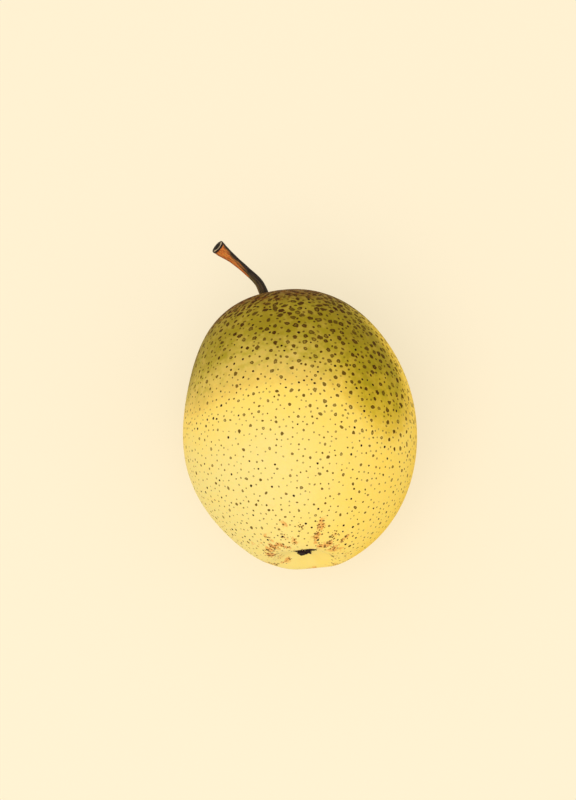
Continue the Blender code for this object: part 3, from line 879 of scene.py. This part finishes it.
def make_cup(material):
    """The calyx cup: a turned profile whose rim is broken into low teeth."""
    lip, floor = (CUP_RADIUS + CUP_HOLLOW_RADIUS) / 2, CUP_HOLLOW_DEPTH - CUP_STANDS
    profile = np.array([
        (0, CUP_SUNK), (CUP_RADIUS, CUP_SUNK), (CUP_RADIUS, 0.3 * CUP_SUNK), (CUP_RADIUS, -CUP_STANDS / 2),
        (lip, -CUP_STANDS), (CUP_HOLLOW_RADIUS, -CUP_STANDS / 2), (CUP_HOLLOW_RADIUS * 0.7, floor),
        (0, floor)])
    curve, _ = smooth_path(profile, CUP_RINGS)
    turn = -np.arange(CUP_SIDES) * 2 * math.pi / CUP_SIDES
    uneven = 1 + sum(share * np.sin(count * turn + phase) for share, count, phase in CUP_WAVES)
    radius = np.maximum(curve[:, :1], 0) * uneven[None]
    teeth = CUP_TOOTH_HEIGHT * np.sin(CUP_TEETH * turn)[None] * (curve[:, 1:] < -0.6 * CUP_STANDS)
    rings = np.stack([radius * np.cos(turn), radius * np.sin(turn), curve[:, 1:] - teeth], axis=-1)
    points, faces = closed_rings(rings[::-1])
    cup = new_piece("calyx_cup", points + basin_floor(), faces, material)
    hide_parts("calyx")


def basin_rise(off_core):
    """How far the skin stands out past the basin floor, at a distance from the core."""
    basin = BASIN_DEPTH * (1 - np.exp(-(off_core / BASIN_RADIUS) ** BASIN_STEEPNESS))
    return basin - BODY_HALF_LENGTH * (1 - np.sqrt(1 - (off_core / BODY_RADIUS) ** 2))


def make_sepal(number, draw, material):
    """One sepal: a pointed blade that follows the basin's wall, wrinkled, its tip curled up.

    Its height is how far the skin has risen there, plus its lift, a curl with the fourth power of
    its length, a trough across it and two sets of small waves.
    """
    turn, reach, half_width, lift, bluntness = SEPALS[number]
    phase = draw.uniform(0, 2 * math.pi, 3)
    rows, columns = np.linspace(0, 1, SEPAL_ROWS), np.linspace(-1, 1, SEPAL_COLUMNS)
    along, side = np.meshgrid(rows, columns, indexing="ij")
    edge = 1 + SEPAL_RAGGED * np.sin(17 * along + phase[0]) * np.abs(side)
    half = (half_width * MM * (1 - along**bluntness) + SEPAL_TIP_HALF_WIDTH * along) * edge
    x, y = SEPAL_START + (reach * MM - SEPAL_START) * along, side * half
    height = basin_rise(np.hypot(x, y)) + lift * MM + SEPAL_CURL * along**4
    height = height + SEPAL_TROUGH * side**2 * (1 - along)
    height = height + SEPAL_WAVE_ACROSS * np.sin(9 * side + 3 * along + phase[1])
    height = height + SEPAL_WAVE_ALONG * np.sin(8 * along + phase[2])
    c, s = math.cos(math.radians(turn)), math.sin(math.radians(turn))
    points = np.stack([c * x - s * y, s * x + c * y, -height], axis=-1).reshape(-1, 3)
    index = np.arange(SEPAL_ROWS * SEPAL_COLUMNS).reshape(SEPAL_ROWS, SEPAL_COLUMNS)
    faces = np.stack([index[:-1, :-1], index[:-1, 1:], index[1:, 1:], index[1:, :-1]], axis=-1)
    faces = faces.reshape(-1, 4).tolist()
    sepal = new_piece("calyx_sepal_%d" % number, points + basin_floor(), faces, material)
    solid = sepal.modifiers.new("thickness", "SOLIDIFY")
    solid.thickness = SEPAL_THICKNESS
    solid.offset = 0.0


def make_stamens(material):
    """Dry stamens in the cup: thin tapering threads that lean and bow by chance, with bead ends."""
    draw = np.random.default_rng(STAMEN_SEED)
    all_points, all_faces, start = [], [], 0
    t = np.linspace(0, 1, len(STAMEN_RADII))
    width = np.array(STAMEN_RADII) * MM
    turn = -np.arange(STAMEN_SIDES) * 2 * math.pi / STAMEN_SIDES
    for _ in range(STAMEN_COUNT):
        angle, out = draw.uniform(0, 2 * math.pi), draw.uniform(*STAMEN_OFF) * MM
        lean, tall = draw.uniform(*STAMEN_LEAN) * MM, draw.uniform(*STAMEN_HEIGHT) * MM
        radial = out + lean * t**2
        bow = STAMEN_BOW * draw.uniform(-1, 1) * t**2
        x = radial * math.cos(angle) - bow * math.sin(angle)
        y = radial * math.sin(angle) + bow * math.cos(angle)
        z = STAMEN_SUNK - tall * t
        rings = np.stack([x[:, None] + width[:, None] * np.cos(turn),
                          y[:, None] + width[:, None] * np.sin(turn), z[:, None] + 0 * turn], axis=-1)
        points, faces = closed_rings(rings[::-1])
        all_points.append(points)
        all_faces += [[start + corner for corner in face] for face in faces]
        start += len(points)
    stamens = new_piece("calyx_stamens", np.concatenate(all_points) + basin_floor(), all_faces, material)


def make_calyx():
    """The calyx: cup, sepals and what is left of the stamens."""
    material = calyx_material()
    make_cup(material)
    draw = np.random.default_rng(SEPAL_SEED)
    for number in range(len(SEPALS)):
        make_sepal(number, draw, material)
    make_stamens(material)


# Camera: a long lens whose sensor spans the picture's height, the picture's scale on the fruit, and the
# pixel of the fruit's middle
LENS = 150.0
SENSOR = 36.0
PHOTO_WIDTH = 576
PHOTO_HEIGHT = 800
MM_PER_PIXEL = 74.0 / 232.0
PEAR_PIXEL = (299.9, 431.3)
CAMERA_HEIGHT = math.radians(78.0)

# Floor and lights: metres, watts and strengths
FLOOR_HALF_WIDTH = 3.0
FLOOR_GLOW = 0.645
SKY_STRENGTH = 0.9
SOFTBOX_SIZE = 1.2
SOFTBOX_POWER = 9.0
SOFTBOX_PLACE = (-0.25, -0.6, 1.45)
SOFTBOX_AIM = (0.0, 0.0, 0.03)


def make_floor():
    """A wide studio floor of matt painted board, lit a little from within to keep its shadows soft."""
    mesh = bpy.data.meshes.new("floor")
    w = FLOOR_HALF_WIDTH
    mesh.from_pydata([(-w, -w, 0), (w, -w, 0), (w, w, 0), (-w, w, 0)], [], [(0, 1, 2, 3)])
    floor = bpy.data.objects.new("floor", mesh)
    bpy.context.scene.collection.objects.link(floor)
    material, tree, shader = new_material("matt_cream_floor")
    plug(tree, shader, {"Base Color": "9B948A", "Roughness": 0.95, "Specular IOR Level": 0.0,
                        "Emission Color": "FDEFCB", "Emission Strength": FLOOR_GLOW})
    mesh.materials.append(material)
    floor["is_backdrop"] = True


def make_lights():
    """An even pale sky and one broad soft lamp from the lower left."""
    world = bpy.data.worlds.new("studio")
    world.use_nodes = True
    bpy.context.scene.world = world
    background = world.node_tree.nodes["Background"]
    background.inputs["Color"].default_value = linear("FFFBF2")
    background.inputs["Strength"].default_value = SKY_STRENGTH
    lamp = bpy.data.lights.new("softbox", "AREA")
    lamp.shape = "DISK"
    lamp.size = SOFTBOX_SIZE
    lamp.energy = SOFTBOX_POWER
    lamp.color = linear("FFF8EC")[:3]
    softbox = bpy.data.objects.new("softbox", lamp)
    softbox.location = SOFTBOX_PLACE
    aim = Vector(SOFTBOX_AIM) - softbox.location
    softbox.rotation_euler = aim.to_track_quat("-Z", "Y").to_euler()
    bpy.context.scene.collection.objects.link(softbox)


def make_camera():
    """A long lens almost overhead, with the pear's middle at its place in the picture."""
    data = bpy.data.cameras.new("camera")
    data.lens = LENS
    data.sensor_width = SENSOR
    camera = bpy.data.objects.new("camera", data)
    bpy.context.scene.collection.objects.link(camera)
    bpy.context.scene.camera = camera
    middle = LAID.translation
    towards = Vector((0, -math.cos(CAMERA_HEIGHT), math.sin(CAMERA_HEIGHT)))
    distance = PHOTO_HEIGHT * MM_PER_PIXEL * MM * LENS / SENSOR
    camera.location = middle + towards * distance
    up = Vector((0, math.sin(CAMERA_HEIGHT), math.cos(CAMERA_HEIGHT)))
    across = (PEAR_PIXEL[0] - PHOTO_WIDTH / 2) * MM_PER_PIXEL * MM
    down = (PEAR_PIXEL[1] - PHOTO_HEIGHT / 2) * MM_PER_PIXEL * MM
    look = (middle - Vector((across, 0, 0)) + up * down - camera.location).normalized()
    camera.rotation_euler = (math.asin(look.y), math.atan2(-look.x, -look.z), 0)


make_skin()
make_stem()
make_calyx()
make_floor()
make_lights()
make_camera()
bpy.context.scene.view_settings.view_transform = "Standard"

boxes = {"cad": cad_box, "visual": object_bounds()}
boxes = {name: [[float(c) for c in corner] for corner in box] for name, box in boxes.items()}
